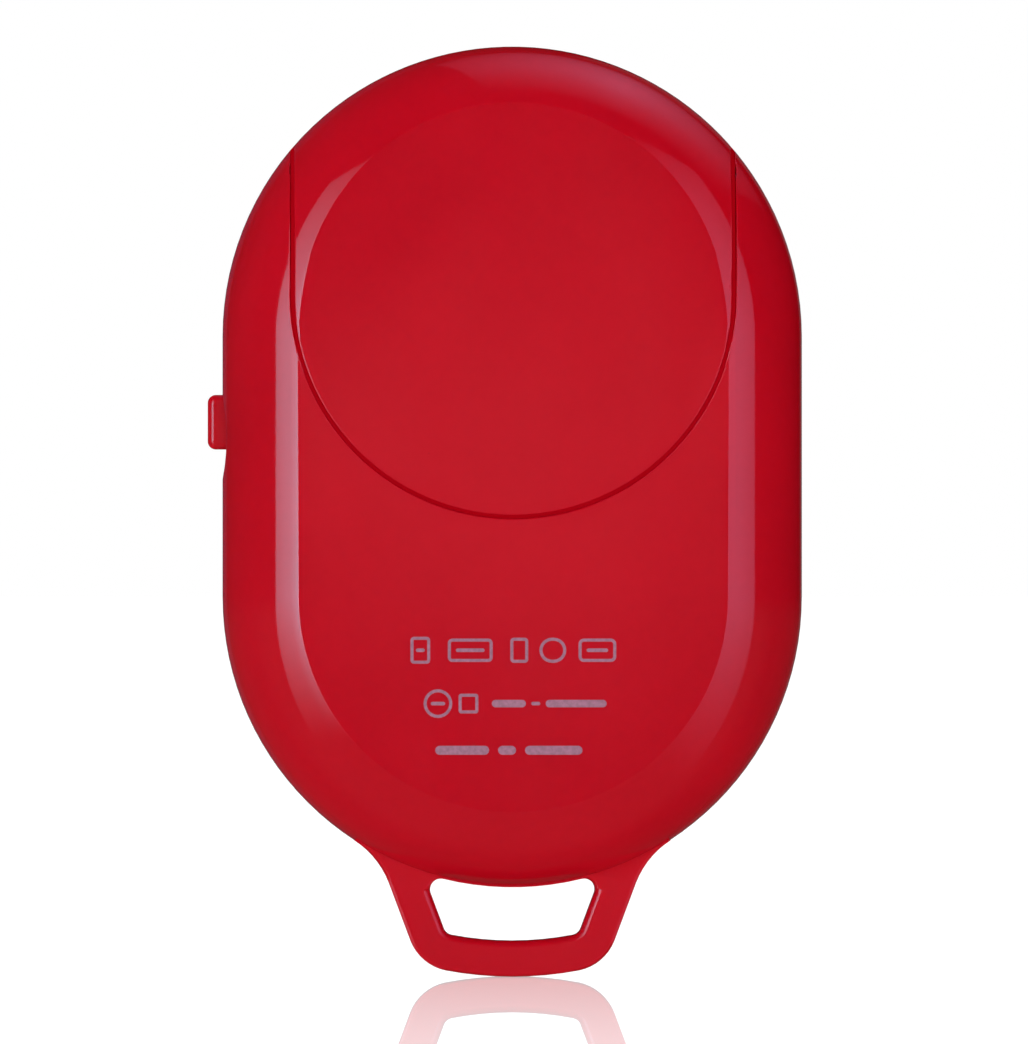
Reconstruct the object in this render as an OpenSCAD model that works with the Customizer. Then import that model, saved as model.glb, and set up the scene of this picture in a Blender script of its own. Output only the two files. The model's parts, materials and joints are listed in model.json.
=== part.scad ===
// Bluetooth camera shutter remote, standing on its lanyard loop with the domed end up.
// X is the width, Y the depth with the battery door facing -Y, and Z the length.
// The seam between the two covers lies on the plane Y = 0, and the loop's lowest edge on Z = 0.

/* [Case] */
// How far the case reaches past the battery door on each side
case_side = 4; // [3.6:0.05:4.4]
// Length of the case without the lanyard loop
case_l = 47; // [46:0.5:56]
// Depth of the rear cover, from the seam to its flat face
rear_depth = 6.2; // [6:0.1:6.8]
// Depth of the front cover, from the seam to its flat face
front_depth = 5.4; // [5.2:0.1:6.4]
// Thickness of the covers' walls
wall = 1.3; // [1.1:0.05:1.5]
// Thickness of the front face, which guides the keys
face_t = 1.4; // [1.2:0.1:1.6]
// Radius of the rear cover's rounded edge
rear_edge_r = 5.2; // [4.6:0.1:5.6]
// Width of the rear cover's rounded edge, from the silhouette to the flat face
rear_edge_w = 4.25; // [3.8:0.05:4.5]
// Radius of the front cover's rounded edge
front_edge_r = 4; // [3.4:0.1:4.4]
// Width of the front cover's rounded edge
front_edge_w = 3.4; // [3:0.1:3.6]
// Height of the lip that locates one cover in the other
lip_h = 0.6; // [0.4:0.1:1]
// Thickness of that lip
lip_t = 0.6; // [0.5:0.05:0.7]
// Clearance all round the lip
lip_gap = 0.05; // [0.03:0.01:0.1]

/* [Lanyard loop] */
// How far the loop reaches below the case
loop_reach = 5; // [4.6:0.1:7]
// Thickness of the loop's plate
loop_t = 2.2; // [1.6:0.1:3]
// Width of the loop where its sides meet the ground line
loop_foot_w = 9.9; // [9:0.1:12]
// Lean of the loop's sides from upright
loop_lean = 20.5; // [15:0.5:25]
// Width of the loop's strands
loop_strand = 2; // [1.6:0.1:2.2]
// Radius of the loop's arched lower edge
loop_arch_r = 20; // [16:0.5:30]
// Radius of the loop's outer corners
loop_corner_r = 2.7; // [1:0.1:3]
// Radius of the fillets where the loop leaves the case
loop_fillet_r = 5; // [2:0.1:6]
// Radius of the corners of the loop's window
window_corner_r = 0.6; // [0.3:0.05:0.8]

/* [Battery door] */
// How far the door reaches past the cell on each side
door_side = 2.2; // [2.15:0.05:2.5]
// Thickness of the door
door_t = 1.1; // [0.9:0.05:1.3]
// Gap between the door's edge and the case
door_gap = 0.2; // [0.15:0.01:0.3]
// Sliding clearance under the door
door_slide_gap = 0.15; // [0.1:0.01:0.2]
// Distance from the seam to the end of the door's skirt over the domed end
door_skirt_end = 1.2; // [1:0.1:1.6]
// Thickness of the hooks that hold the door to its ledge
hook_t = 0.5; // [0.4:0.05:0.6]
// How far each hook reaches out behind the ledge
hook_reach = 0.5; // [0.4:0.05:0.55]
// Length of the hooks along the door
hook_l = 3.6; // [3:0.1:4]
// Clearance round the hooks
hook_gap = 0.12; // [0.1:0.01:0.15]
// Distance of the hooks' feet behind the ledge
hook_drop = 0.3; // [0.25:0.05:0.4]

/* [Coin cell] */
// Diameter of the coin cell
cell_d = 20; // [19.5:0.1:20.2]
// Height of the coin cell
cell_h = 3.2; // [3:0.1:3.4]
// Thickness of the cell's sheet metal
cell_metal_t = 0.25; // [0.2:0.01:0.3]
// Radial thickness of the cell's gasket
gasket_t = 0.5; // [0.4:0.05:0.6]
// Distance from the cell to the case's domed end
cell_end = 4; // [3.9:0.05:5]
// Clearance round the cell in its well
cell_gap = 0.3; // [0.2:0.02:0.35]
// Thickness of the well's wall and of the ledge under the door
well_t = 0.9; // [0.7:0.05:1]
// Thickness of the well's floor
floor_t = 0.8; // [0.6:0.05:1]
// Room for the contact spring between the cell and the floor
floor_gap = 0.25; // [0.2:0.01:0.35]
// Width of the negative contact
negative_w = 3; // [2.4:0.1:4]
// Width of the positive contact
positive_w = 4; // [3:0.1:5]
// Thickness of the contacts' sheet metal
contact_t = 0.2; // [0.15:0.01:0.25]

/* [Circuit board] */
// Thickness of the circuit board
board_t = 1; // [0.8:0.1:1.2]
// Clearance between the board and the battery well's floor
board_gap = 0.1; // [0.05:0.01:0.15]
// Clearance round the board's edge
board_edge_gap = 0.25; // [0.2:0.05:0.4]
// Diameter of the board screws' shanks
screw_d = 1.5; // [1.4:0.05:1.6]
// Diameter of the board screws' heads
screw_head_d = 2.8; // [2.6:0.1:3]
// Height of the board screws' heads
screw_head_h = 0.6; // [0.5:0.05:0.8]
// Length of the board screws' shanks
screw_l = 3.8; // [3.2:0.1:4]
// Diameter of the bosses that take the screws
boss_d = 3.4; // [3.2:0.1:4]

/* [Keys] */
// Diameter of the main key
main_key_d = 13; // [12:0.1:13.4]
// Diameter of the second key
second_key_d = 9; // [8:0.1:9.4]
// Distance of the main key's centre from the case's domed end
main_key_end = 16.2; // [15.5:0.1:17]
// Distance between the two keys' centres
key_spacing = 15.8; // [15:0.1:16.5]
// How far the keys stand proud of the front face
key_proud = 0.4; // [0.35:0.05:0.8]
// Travel of the keys
key_travel = 0.25; // [0.2:0.01:0.3]
// Clearance round the keys in the front cover
key_gap = 0.1; // [0.08:0.01:0.15]
// Reach of the keys' flanges behind the front face
key_flange_w = 0.8; // [0.6:0.05:0.9]
// Thickness of the keys' flanges
key_flange_t = 0.8; // [0.6:0.05:0.9]
// Depth of the finger dish in each key
key_dish = 0.3; // [0.2:0.02:0.4]

/* [Tact switches] */
// Side of a tact switch's square body
tact_w = 4.5; // [4.2:0.1:5]
// Height of a tact switch from the board to the top of its plunger
tact_h = 2; // [1.85:0.05:2.1]
// Height of a tact switch's base
tact_base_h = 1.3; // [1.25:0.01:1.4]
// Thickness of the base's floor
tact_floor_t = 0.4; // [0.35:0.01:0.45]
// Diameter of the plunger
plunger_d = 2; // [1.8:0.1:2.2]
// Diameter of the dome
dome_d = 3.2; // [3:0.05:3.3]
// Height of the dome, drawn as it lies when pressed
dome_h = 0.2; // [0.15:0.01:0.22]

/* [Power switch] */
// Distance of the knob's centre above the case's middle, with the knob at its upper stop
knob_rise = 2.5; // [2:0.1:3]
// Length of the knob along its travel
knob_l = 3.05; // [2.8:0.05:3.3]
// Thickness of the knob
knob_t = 2; // [1.8:0.1:2.1]
// How far the knob stands out of the case
knob_proud = 0.83; // [0.6:0.01:1.2]
// Radius of the knob's outer corners
knob_corner_r = 0.45; // [0.3:0.05:0.6]
// Travel of the knob
knob_travel = 1.8; // [1.5:0.1:2]
// Clearance round the knob in its slot
knob_gap = 0.15; // [0.1:0.01:0.2]
// Length of the shallow finger recess round the knob
scoop_l = 4.6; // [4.4:0.1:6]
// Depth of the finger recess
scoop_depth = 0.22; // [0.15:0.01:0.35]
// Length of the slide switch's case
switch_l = 6.6; // [6.2:0.1:7]
// Depth of the slide switch's case, from its lever side to its back
switch_w = 2.8; // [2.6:0.1:3.2]
// Height of the slide switch's case above the board
switch_h = 1.4; // [1.35:0.05:1.5]
// Thickness of the slide switch's sheet metal
switch_metal_t = 0.2; // [0.15:0.01:0.25]
// Reach of the switch's lever out of its case
lever_reach = 1.9; // [1.7:0.1:2]
// Width of the switch's lever along its travel
lever_w = 1.3; // [1.1:0.1:1.5]

/* [Small parts on the board] */
// Side of the radio chip's square body
radio_w = 5; // [4:0.1:5.5]
// Height of the radio chip
radio_h = 0.9; // [0.7:0.05:1.2]
// Length of the crystal
crystal_l = 3.2; // [2.5:0.1:3.6]
// Width of the crystal
crystal_w = 2.5; // [2:0.1:2.6]
// Height of the crystal
crystal_h = 0.7; // [0.5:0.05:0.9]
// Length of the memory chip's body
memory_l = 4.9; // [4.5:0.1:5]
// Width of the memory chip's body
memory_w = 3.9; // [3.6:0.1:4]
// Height of the memory chip
memory_h = 1.4; // [1.2:0.05:1.6]
// Length of a resistor or capacitor
passive_l = 1.6; // [1:0.1:1.8]
// Width of a resistor or capacitor
passive_w = 0.8; // [0.5:0.05:0.9]
// Height of a resistor
resistor_h = 0.45; // [0.35:0.05:0.6]
// Height of a capacitor
capacitor_h = 0.8; // [0.5:0.05:0.9]
// Length of the status lamp
led_l = 1.6; // [1.5:0.05:1.8]
// Width of the status lamp
led_w = 0.8; // [0.7:0.05:1]
// Height of the status lamp
led_h = 0.6; // [0.4:0.05:0.9]
// Diameter of the light pipe
lens_d = 1.6; // [1.4:0.05:1.8]
// Width of the antenna's track
track_w = 0.4; // [0.3:0.02:0.5]
// Thickness of the antenna's track
track_t = 0.06; // [0.04:0.01:0.1]

/* [Hidden] */

$fn = 96;
// How far a cut runs past what it cuts
overrun = 1;
// Gap left where one piece bears on another
touch_gap = 0.02;
// How far the circle in a corner crosses the edges that it touches
touch_cross = 0.0005;

case_red = "#bd1426";
steel = "#c9c9c6";
brass = "#c8a24a";
tin = "#b9bcc0";
mask_green = "#1f6b3a";
resin_black = "#1d1d20";

// Case, as wide as the cell and the door need
cell_r = cell_d / 2;
door_r = cell_r + door_side;
half_w = door_r + case_side;
end_z = loop_reach + case_l;
low_z = loop_reach + half_w;
high_z = end_z - half_w;
rear_side = rear_depth - edge_drop(rear_edge_r, rear_edge_w);
front_side = front_depth - edge_drop(front_edge_r, front_edge_w);
face_y = front_depth - face_t;

// Battery door and cell, from the rear face inward
door_z = end_z - cell_end - cell_r;
door_under_y = -rear_depth + door_t;
pocket_in = door_t + door_slide_gap;
ledge_y = -rear_depth + pocket_in;
cell_front_y = ledge_y + cell_h;
well_r = cell_r + cell_gap;
floor_rear_y = cell_front_y + floor_gap;
floor_front_y = floor_rear_y + floor_t;
ledge_grow = wall;
hook_x = well_r + well_t + hook_gap;
hook_y = ledge_y + well_t + hook_drop;

cathode_h = (cell_h - 4 * cell_metal_t - 2 * touch_gap) * 2 / 3;
cathode_top_y = ledge_y + cell_metal_t + touch_gap + cathode_h;
filling_r = cell_r - 2 * cell_metal_t - gasket_t - 3 * touch_gap;
negative_l = cell_r * 0.8;
negative_foot = negative_l / 4;
positive_top_y = ledge_y + well_t;

// Circuit board
board_rear_y = floor_front_y + board_gap;
board_y = board_rear_y + board_t;
board_half_w = half_w - pocket_in - well_t - board_edge_gap;
board_half_l = board_half_w + (high_z - low_z) / 2;
board_mid_z = (low_z + high_z) / 2;
fastener_r = board_half_w - boss_d / 2 - wall / 2;
fastener_angle = 45;
screw_hole_d = screw_d + 2 * key_gap;
pilot_d = screw_d + 2 * touch_gap;
pilot_l = screw_l - board_t + touch_gap;

// Keys
main_key_z = end_z - main_key_end;
second_key_z = main_key_z - key_spacing;
flange_y = face_y - touch_gap;
plunger_y = board_y + tact_h;
post_d = plunger_d + wall / 2;
key_edge = key_proud / 2;

// Tact switches
tact_wall = (tact_w - dome_d) / 4;
tact_cavity_d = dome_d + tact_wall;
tact_cover_t = contact_t;
plunger_gap = key_gap / 2;
plunger_flange_d = (plunger_d + dome_d) / 2;
plunger_stop_h = tact_base_h - touch_gap;
plunger_low_h = tact_floor_t + dome_h + key_travel + touch_gap;
terminal_w = tact_w / 6;
terminal_reach = tact_w / 5;

// Power switch
switch_front_x = -board_half_w + board_edge_gap;
knob_z = board_mid_z + knob_rise;
switch_z = knob_z - knob_travel / 2;
switch_base_h = switch_h / 4;
wiper_h = switch_metal_t / 2;
slider_low_h = switch_base_h + wiper_h + 2 * touch_gap;
slider_top_h = switch_h - switch_metal_t - knob_gap / 3;
slider_l = switch_l - 2 * switch_metal_t - knob_travel - knob_gap;
lever_y = board_y + (slider_low_h + slider_top_h) / 2;
lever_gap = knob_gap / 3;
knob_flange_x = -half_w + wall + knob_gap + touch_gap * 4;
knob_flange_t = knob_t / 4;
knob_flange_reach = knob_travel + knob_gap;
scoop_r = (pow(scoop_l / 2, 2) + pow(scoop_depth, 2)) / (2 * scoop_depth);

// Status lamp, midway between the keys' flanges
led_z = (main_key_z - main_key_d / 2 + second_key_z + second_key_d / 2) / 2;
lens_gap = key_gap / 3;
lens_flange_t = face_t / 3;
lens_flange_w = lens_d / 6;

// Places on the board, as shares of its half width and half length
radio_share = [0.5, -0.14];
crystal_share = [0.68, 0.2];
memory_share = [-0.55, -0.3];
resistor_shares = [[0.4, 0.14], [0.4, 0.24], [0.55, -0.38], [-0.42, 0.24], [-0.72, 0.34]];
capacitor_shares = [[0.78, 0.02], [0.78, -0.07], [0.55, -0.48], [-0.42, 0.34], [0.35, -0.48]];

// Drop of a rounded edge from the flat face to the upright side
function edge_drop(edge_r, edge_w) = sqrt(pow(edge_r, 2) - pow(edge_r - edge_w, 2));
// A point in the plan, as X and Z, at given shares of the board's half width and half length
function board_place(share) = [share.x * board_half_w, board_mid_z + share.y * board_half_l];
// A point at a given offset outward from the loop's side line and a given distance up it
function side_point(outward, along) = [
    loop_foot_w / 2 + outward * cos(loop_lean) + along * sin(loop_lean),
    along * cos(loop_lean) - outward * sin(loop_lean)
];
// How far up the offset side line it first comes to a given distance from a centre on the axis
function side_meets(outward, centre_z, reach) =
    let (
        from = side_point(outward, 0) - [0, centre_z],
        b = from * [sin(loop_lean), cos(loop_lean)]
    ) -b - sqrt(b * b - from * from + reach * reach);
function unit(v) = v / norm(v);

// Extrudes a plan drawn in X and Z between two depths
module slab(y0, y1) {
    translate([0, y1, 0]) rotate([90, 0, 0]) linear_extrude(y1 - y0) children();
}

// Extrudes a section drawn in Y and Z between two widths
module across(x0, x1) {
    translate([x0, 0, 0]) rotate([90, 0, 90]) linear_extrude(x1 - x0) children();
}

// Cylinder along the depth, on a point of the plan
module disc(place, d, y0, y1) {
    translate([place.x, y1, place.y]) rotate([90, 0, 0]) cylinder(h = y1 - y0, d = d);
}

// Revolves a section of radius and forward height about a depth axis through a point of the plan
module turned(place, y0) {
    translate([place.x, y0, place.y]) rotate([-90, 0, 0]) rotate_extrude() children();
}

// Block on a point of the plan
module block(place, size_x, size_z, y0, y1) {
    translate([place.x - size_x / 2, y0, place.y - size_z / 2]) cube([size_x, y1 - y0, size_z]);
}

// Half disc in the plan, up or down from its flat side
module half_disc(r, up) {
    intersection() {
        circle(r);
        translate([-r, up ? 0 : -r]) square([2 * r, r]);
    }
}

// Stadium in the plan: the case's outline at a given half width
module stadium(r) {
    translate([0, low_z]) half_disc(r, false);
    translate([-r, low_z]) square([2 * r, high_z - low_z]);
    translate([0, high_z]) half_disc(r, true);
}

// Half section of a cover: an upright side, a rounded edge and a flat face, set in by an inset
module cover_section(depth, side, edge_r, inset) {
    square([half_w - inset, side]);
    intersection() {
        square([half_w - inset, depth - inset]);
        translate([half_w - edge_r, side]) circle(edge_r - inset);
    }
    square([half_w - edge_r, depth - inset]);
}

// A cover's solid form, from the seam rearward: two turned ends and a straight middle
module cover_form(depth, side, edge_r, inset) {
    translate([0, 0, high_z]) rotate([90, 0, 0]) rotate_extrude(angle = 180)
        cover_section(depth, side, edge_r, inset);
    translate([0, 0, low_z]) rotate([90, 0, 0]) rotate([0, 0, 180]) rotate_extrude(angle = 180)
        cover_section(depth, side, edge_r, inset);
    translate([0, 0, low_z]) linear_extrude(high_z - low_z) for (side_x = [0, 1])
        mirror([side_x, 0]) mirror([0, 1]) cover_section(depth, side, edge_r, inset);
}

module rear_form(inset) {
    cover_form(rear_depth, rear_side, rear_edge_r, inset);
}

module front_form(inset) {
    mirror([0, 1, 0]) cover_form(front_depth, front_side, front_edge_r, inset);
}

// Wedge of a corner between two edges that a circle touches, less the circle
module corner_wedge(centre, r, toward_a, toward_b) {
    tip = (toward_a + toward_b) * r / (1 + toward_a * toward_b);
    difference() {
        polygon([
            centre, centre + r * toward_a,
            centre + (1 + r / norm(tip)) * tip, centre + r * toward_b
        ]);
        translate(centre) circle(r + touch_cross);
    }
}

// Wedge at a corner of the loop, inside an arc or outside the case's end
module loop_wedge(outward, arc_z, arc_r, r, inside) {
    centre_outward = outward + (inside ? -r : r);
    reach = arc_z == low_z ? arc_r + r : arc_r - r;
    centre = side_point(centre_outward, side_meets(centre_outward, arc_z, reach));
    to_side = (inside ? 1 : -1) * [cos(loop_lean), -sin(loop_lean)];
    to_arc = unit([0, arc_z] - centre) * (arc_z == low_z ? 1 : -1);
    corner_wedge(centre, r, to_side, to_arc);
}

module both_sides() {
    children();
    mirror([1, 0]) children();
}

// Trapezium between the loop's side lines, set out by an offset, up into the case's wall
module loop_trapezium(outward) {
    foot = side_point(outward, 0);
    head = side_point(outward, side_meets(outward, low_z, half_w - wall / 2));
    polygon([foot, head, [-head.x, head.y], [-foot.x, foot.y]]);
}

module window_plan() {
    arch_r = loop_arch_r - loop_strand;
    difference() {
        intersection() {
            loop_trapezium(-loop_strand);
            translate([0, loop_arch_r]) circle(arch_r);
        }
        translate([0, low_z]) circle(half_w);
        both_sides() loop_wedge(-loop_strand, loop_arch_r, arch_r, window_corner_r, true);
        both_sides() loop_wedge(-loop_strand, low_z, half_w, window_corner_r, true);
    }
}

module loop_plan() {
    difference() {
        union() {
            intersection() {
                loop_trapezium(0);
                translate([0, loop_arch_r]) circle(loop_arch_r);
            }
            both_sides() loop_wedge(0, low_z, half_w, loop_fillet_r, false);
        }
        both_sides() loop_wedge(0, loop_arch_r, loop_arch_r, loop_corner_r, true);
        window_plan();
    }
}

// Outline of the door, a tongue that is open at the domed end, grown by a margin
module door_plan(grow) {
    translate([0, door_z]) {
        half_disc(door_r + grow, false);
        translate([-door_r - grow, 0]) square([2 * (door_r + grow), half_w + overrun]);
    }
}

// The door's two hooks, or their slots in the ledge when a gap is given
module door_hooks(gap, start, length) {
    translate([0, 0, door_z + start]) linear_extrude(length) for (side = [0, 1]) mirror([side, 0]) {
        translate([hook_x - gap, door_under_y - door_t / 2])
            square([hook_t + 2 * gap, hook_y + hook_t - door_under_y + door_t / 2 + gap]);
        translate([hook_x - gap, hook_y - gap])
            square([hook_t + hook_reach + 2 * gap, hook_t + 2 * gap]);
    }
}

// Slot for the knob, open to the seam
module knob_slot() {
    slot_y = min(lever_y - knob_t / 2 - knob_gap, 0);
    translate([-half_w - overrun, slot_y, knob_z - knob_travel - knob_l / 2 - knob_gap]) cube([
        wall + 2 * overrun,
        lever_y + knob_t / 2 + knob_gap - slot_y,
        knob_l + knob_travel + 2 * knob_gap
    ]);
}

module finger_scoop() {
    disc([-half_w + scoop_depth - scoop_r, switch_z], 2 * scoop_r, -rear_depth, front_depth);
}

module door_pocket() {
    difference() {
        slab(-rear_depth - overrun, -door_skirt_end + door_gap) door_plan(door_gap);
        rear_form(pocket_in);
    }
    door_hooks(hook_gap, 0, half_w + overrun);
}

// Openings in the well for the two contacts
module contact_openings() {
    block(
        [0, door_z - negative_foot], negative_w + 4 * cell_gap, negative_l + 4 * cell_gap,
        floor_rear_y - overrun, floor_front_y + overrun
    );
    translate([
        -positive_w / 2 - cell_gap,
        positive_top_y - cell_gap,
        door_z - well_r - well_t - overrun
    ]) cube([
        positive_w + 2 * cell_gap,
        floor_front_y - positive_top_y + 2 * cell_gap,
        well_t + 2 * overrun
    ]);
}

// Ledge under the door, the end wall behind its skirt, and the round well for the cell
module battery_bay() {
    difference() {
        intersection() {
            slab(-rear_depth, 0) door_plan(ledge_grow);
            rear_form(pocket_in);
        }
        rear_form(pocket_in + well_t);
    }
    disc([0, door_z], 2 * (well_r + well_t), ledge_y, floor_front_y);
}

module rear_cover() {
    color(case_red) difference() {
        union() {
            rear_form(0);
            slab(-loop_t, 0) loop_plan();
            slab(0, lip_h) difference() {
                stadium(half_w - wall + lip_t);
                stadium(half_w - wall);
            }
        }
        difference() {
            rear_form(wall);
            battery_bay();
        }
        door_pocket();
        disc([0, door_z], 2 * well_r, ledge_y - overrun, floor_rear_y);
        contact_openings();
        knob_slot();
        finger_scoop();
    }
}

module face_hole(hole_z, d) {
    disc([0, hole_z], d, face_y - overrun, front_depth + overrun);
}

module front_cover() {
    fasteners = [for (up = [-1, 1], side = [-1, 1]) [up, side]];
    color(case_red) difference() {
        union() {
            difference() {
                front_form(0);
                intersection() {
                    front_form(wall);
                    slab(-overrun, face_y) stadium(half_w);
                }
            }
            for (at = fasteners) disc(fastener_place(at[0], at[1]), boss_d, board_y, face_y);
        }
        slab(-overrun, lip_h + lip_gap) stadium(half_w - wall + lip_t + lip_gap);
        for (side = [-1, 1])
            disc(fastener_place(-1, side), pilot_d, board_y - overrun, board_y + pilot_l);
        face_hole(main_key_z, main_key_d + 2 * key_gap);
        face_hole(second_key_z, second_key_d + 2 * key_gap);
        face_hole(led_z, lens_d + 2 * lens_gap);
        knob_slot();
        finger_scoop();
    }
}

// Place of a boss or screw: below or above the board's middle, on one side
function fastener_place(up, side) = [
    side * fastener_r * cos(fastener_angle),
    (up > 0 ? high_z : low_z) + up * fastener_r * sin(fastener_angle)
];

module battery_door() {
    color(case_red) {
        intersection() {
            difference() {
                rear_form(0);
                rear_form(door_t);
            }
            slab(-rear_depth - overrun, -door_skirt_end) door_plan(0);
        }
        door_hooks(0, door_gap, hook_l);
    }
}

module battery_can() {
    crimp_h = cell_h - cell_metal_t - touch_gap;
    color(steel) turned([0, door_z], ledge_y) {
        square([cell_r, cell_metal_t]);
        translate([cell_r - cell_metal_t, 0]) square([cell_metal_t, crimp_h]);
        translate([cell_r - cell_metal_t - gasket_t, crimp_h - cell_metal_t])
            square([cell_metal_t + gasket_t, cell_metal_t]);
    }
}

module battery_gasket() {
    outer = cell_r - cell_metal_t - touch_gap;
    top_h = cell_h - 2 * cell_metal_t - 2 * touch_gap;
    color("#3a3a3d") turned([0, door_z], ledge_y)
        translate([outer - gasket_t, cell_metal_t + touch_gap])
            square([gasket_t, top_h - cell_metal_t - touch_gap]);
}

module battery_cap() {
    outer = cell_r - cell_metal_t - gasket_t - 2 * touch_gap;
    skirt_h = cell_metal_t + touch_gap + gasket_t;
    color(steel) turned([0, door_z], ledge_y) {
        translate([0, cell_h - cell_metal_t]) square([outer - gasket_t, cell_metal_t]);
        translate([outer - gasket_t - cell_metal_t, cell_h - 3 * cell_metal_t])
            square([cell_metal_t, 3 * cell_metal_t]);
        translate([outer - gasket_t - cell_metal_t, cell_h - 3 * cell_metal_t])
            square([gasket_t + cell_metal_t, cell_metal_t]);
        translate([outer - cell_metal_t, skirt_h])
            square([cell_metal_t, cell_h - 2 * cell_metal_t - skirt_h]);
    }
}

// The cell's filling: a cathode pellet, a separator and an anode disc
module battery_cathode() {
    color("#2f2f30") disc([0, door_z], 2 * filling_r, cathode_top_y - cathode_h, cathode_top_y);
}

module battery_separator() {
    color("white") disc(
        [0, door_z], 2 * filling_r, cathode_top_y + touch_gap, cathode_top_y + cell_metal_t / 2
    );
}

module battery_anode() {
    color("#9a9ca0") disc(
        [0, door_z], 2 * filling_r, cathode_top_y + cell_metal_t / 2 + touch_gap,
        ledge_y + cell_h - 3 * cell_metal_t - touch_gap
    );
}

// Leaf that rises from its foot on the board to the cell's cap
module negative_contact() {
    low_z_end = door_z - negative_foot - negative_l / 2;
    crest_z = door_z;
    tip_z = low_z_end + negative_l;
    foot_end = low_z_end + negative_foot;
    crest_y = cell_front_y + touch_gap;
    tip_y = crest_y + contact_t;
    foot_y = board_rear_y - touch_gap - contact_t;
    color(brass) across(-negative_w / 2, negative_w / 2) polygon([
        [foot_y, low_z_end], [foot_y, foot_end], [crest_y, crest_z], [tip_y, tip_z],
        [tip_y + contact_t, tip_z], [crest_y + contact_t, crest_z],
        [foot_y + contact_t, foot_end], [foot_y + contact_t, low_z_end]
    ]);
}

// Angle whose upright bears on the can's side
module positive_contact() {
    side_z = door_z - cell_r - touch_gap;
    foot_y = board_rear_y - touch_gap;
    color(brass) across(-positive_w / 2, positive_w / 2) polygon([
        [positive_top_y, side_z], [foot_y, side_z], [foot_y, side_z - well_t - cell_gap - overrun / 2],
        [foot_y - contact_t, side_z - well_t - cell_gap - overrun / 2],
        [foot_y - contact_t, side_z - contact_t], [positive_top_y, side_z - contact_t]
    ]);
}

module circuit_board() {
    color(mask_green) difference() {
        slab(board_rear_y, board_y) stadium(board_half_w);
        for (side = [-1, 1])
            disc(fastener_place(-1, side), screw_hole_d, board_rear_y - overrun, board_y + overrun);
    }
}

module board_screws() {
    head_y = board_rear_y - screw_head_h;
    color(tin) for (side = [-1, 1]) difference() {
        union() {
            disc(fastener_place(-1, side), screw_head_d, head_y, board_rear_y);
            disc(
                fastener_place(-1, side), screw_d,
                board_rear_y - screw_head_h / 2, board_rear_y + screw_l
            );
        }
        for (turn = [0, 1]) block(
            fastener_place(-1, side),
            turn == 0 ? screw_d : screw_d / 4, turn == 0 ? screw_d / 4 : screw_d,
            head_y - overrun, head_y + screw_head_h / 2
        );
    }
}

// Meander of the board's antenna, along its lower end
module antenna_track() {
    teeth = 5;
    pitch = 4 * track_w;
    height = 6 * track_w;
    foot_z = low_z - board_half_w + 2 * track_w;
    color(brass) slab(board_y, board_y + track_t) for (i = [0:teeth - 1]) translate([
        (i - teeth / 2) * pitch, foot_z
    ]) {
        square([track_w, height]);
        translate([0, height - track_w]) square([pitch / 2 + track_w, track_w]);
        translate([pitch / 2, 0]) square([track_w, height]);
        if (i < teeth - 1) translate([pitch / 2, 0]) square([pitch / 2 + track_w, track_w]);
    }
}

// Key: a capped disc with a finger dish, a flange behind the front face and a post to its switch
module key(place, d) {
    dish_r = (pow(d / 3, 2) + pow(key_dish, 2)) / (2 * key_dish);
    color(case_red) difference() {
        union() {
            turned(place, flange_y) polygon([
                [0, 0], [d / 2, 0], [d / 2, front_depth + key_proud - key_edge - flange_y],
                [d / 2 - key_edge, front_depth + key_proud - flange_y],
                [0, front_depth + key_proud - flange_y]
            ]);
            disc(place, d + 2 * key_flange_w, flange_y - key_flange_t, flange_y);
            disc(place, post_d, plunger_y + touch_gap, flange_y);
        }
        translate([place.x, front_depth + key_proud - key_dish + dish_r, place.y]) sphere(dish_r);
    }
}

// Places of a tact switch's four terminals
module tact_terminals(place) {
    color(tin) for (side = [-1, 1], up = [-1, 1]) block(
        place + [side * (tact_w / 2 + touch_gap + terminal_reach / 2), up * tact_w / 3],
        terminal_reach, terminal_w, board_y + touch_gap, board_y + touch_gap + contact_t
    );
}

module tact_base(place) {
    color(resin_black) difference() {
        block(place, tact_w, tact_w, board_y + touch_gap, board_y + tact_base_h);
        disc(place, tact_cavity_d, board_y + tact_floor_t, board_y + tact_base_h + overrun);
    }
}

// Shallow dome, turned from a slice of a thin ring
module tact_dome(place) {
    ball_r = (pow(dome_d / 2, 2) + pow(dome_h, 2)) / (2 * dome_h);
    sheet = dome_h / 3;
    color(steel) turned(place, board_y + tact_floor_t) intersection() {
        translate([0, dome_h - ball_r]) difference() {
            circle(ball_r);
            circle(ball_r - sheet);
        }
        translate([0, touch_gap]) square([dome_d / 2, dome_h]);
    }
}

module tact_plunger(place) {
    color("#8a8d92") {
        disc(place, plunger_flange_d, board_y + plunger_low_h, board_y + plunger_stop_h);
        disc(place, plunger_d, board_y + plunger_stop_h, plunger_y);
    }
}

module tact_cover(place) {
    low = board_y + tact_base_h + touch_gap;
    color(steel) difference() {
        block(place, tact_w, tact_w, low, low + tact_cover_t);
        disc(place, plunger_d + 2 * plunger_gap, low - overrun, low + tact_cover_t + overrun);
    }
}

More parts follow.
